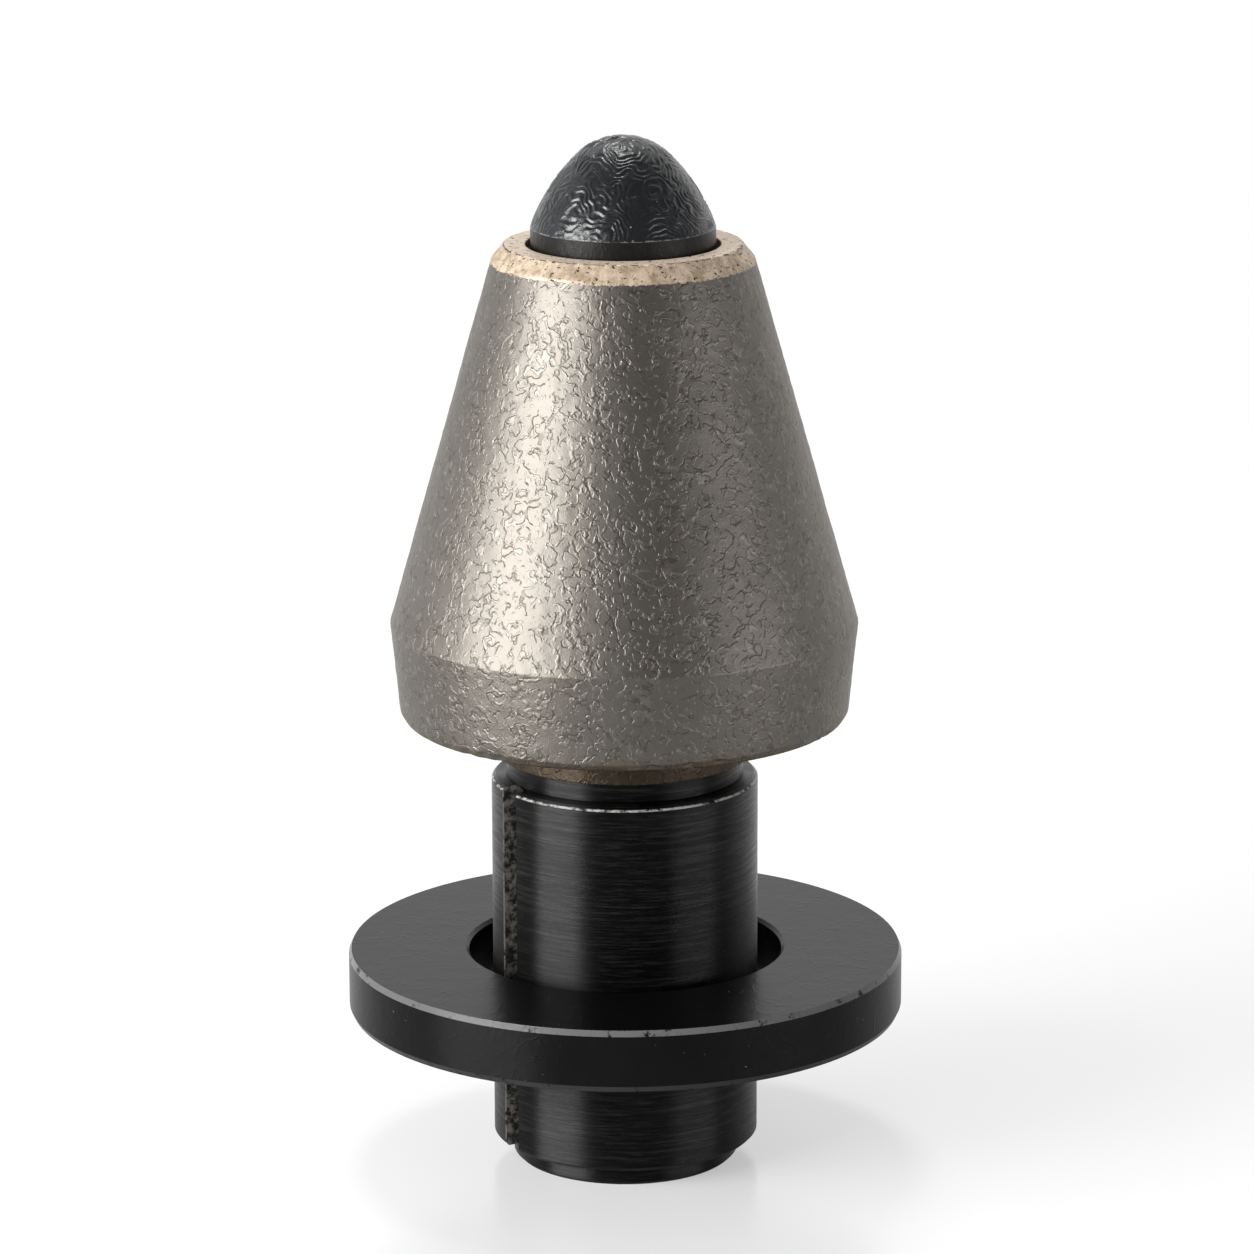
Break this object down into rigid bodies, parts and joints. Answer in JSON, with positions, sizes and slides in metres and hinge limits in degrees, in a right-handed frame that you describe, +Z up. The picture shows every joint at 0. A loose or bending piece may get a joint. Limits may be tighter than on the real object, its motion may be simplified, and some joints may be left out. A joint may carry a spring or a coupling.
{
  "type": "road milling pick",
  "caption": "Rotary road milling pick: domed diamond tip on a conical head, round shank in a slit clamping sleeve held closed by a thick wear washer.",
  "frame": {"origin": "centre of the flat end of the shank, where the pick stands", "axes": "+Z up the pick's axis towards the tip; -Y is the front"},
  "size_m": [0.0414, 0.0414, 0.0773],
  "materials": {
    "diamond": "near-black polished diamond with fine relief",
    "carbide": "satin black ground carbide",
    "braze": "dull braze",
    "head_steel": "warm grey cast skin with ground tan rim",
    "shank_steel": "turned, black oxide",
    "sleeve_steel": "brushed spring steel, black oxide",
    "washer_steel": "satin black oxide with faint relief"
  },
  "bodies": {
    "pick": {"head_casting": "head_steel", "shank": "shank_steel", "tip_braze": "braze", "carbide_substrate": "carbide", "diamond_cap": "diamond"},
    "sleeve": {"clamping_sleeve": "sleeve_steel"},
    "washer": {"wear_washer": "washer_steel"}
  },
  "joints": [
    {"name": "sleeve_turn", "type": "hinge", "parent": "pick", "child": "sleeve", "pos_m": [0, 0, 0.0156], "axis": [0, 0, 1], "continuous": true},
    {"name": "washer_slide", "type": "slide", "parent": "sleeve", "child": "washer", "axis": [0, 0, 1], "range_m": [-0.0096, 0.0179]}
  ]
}
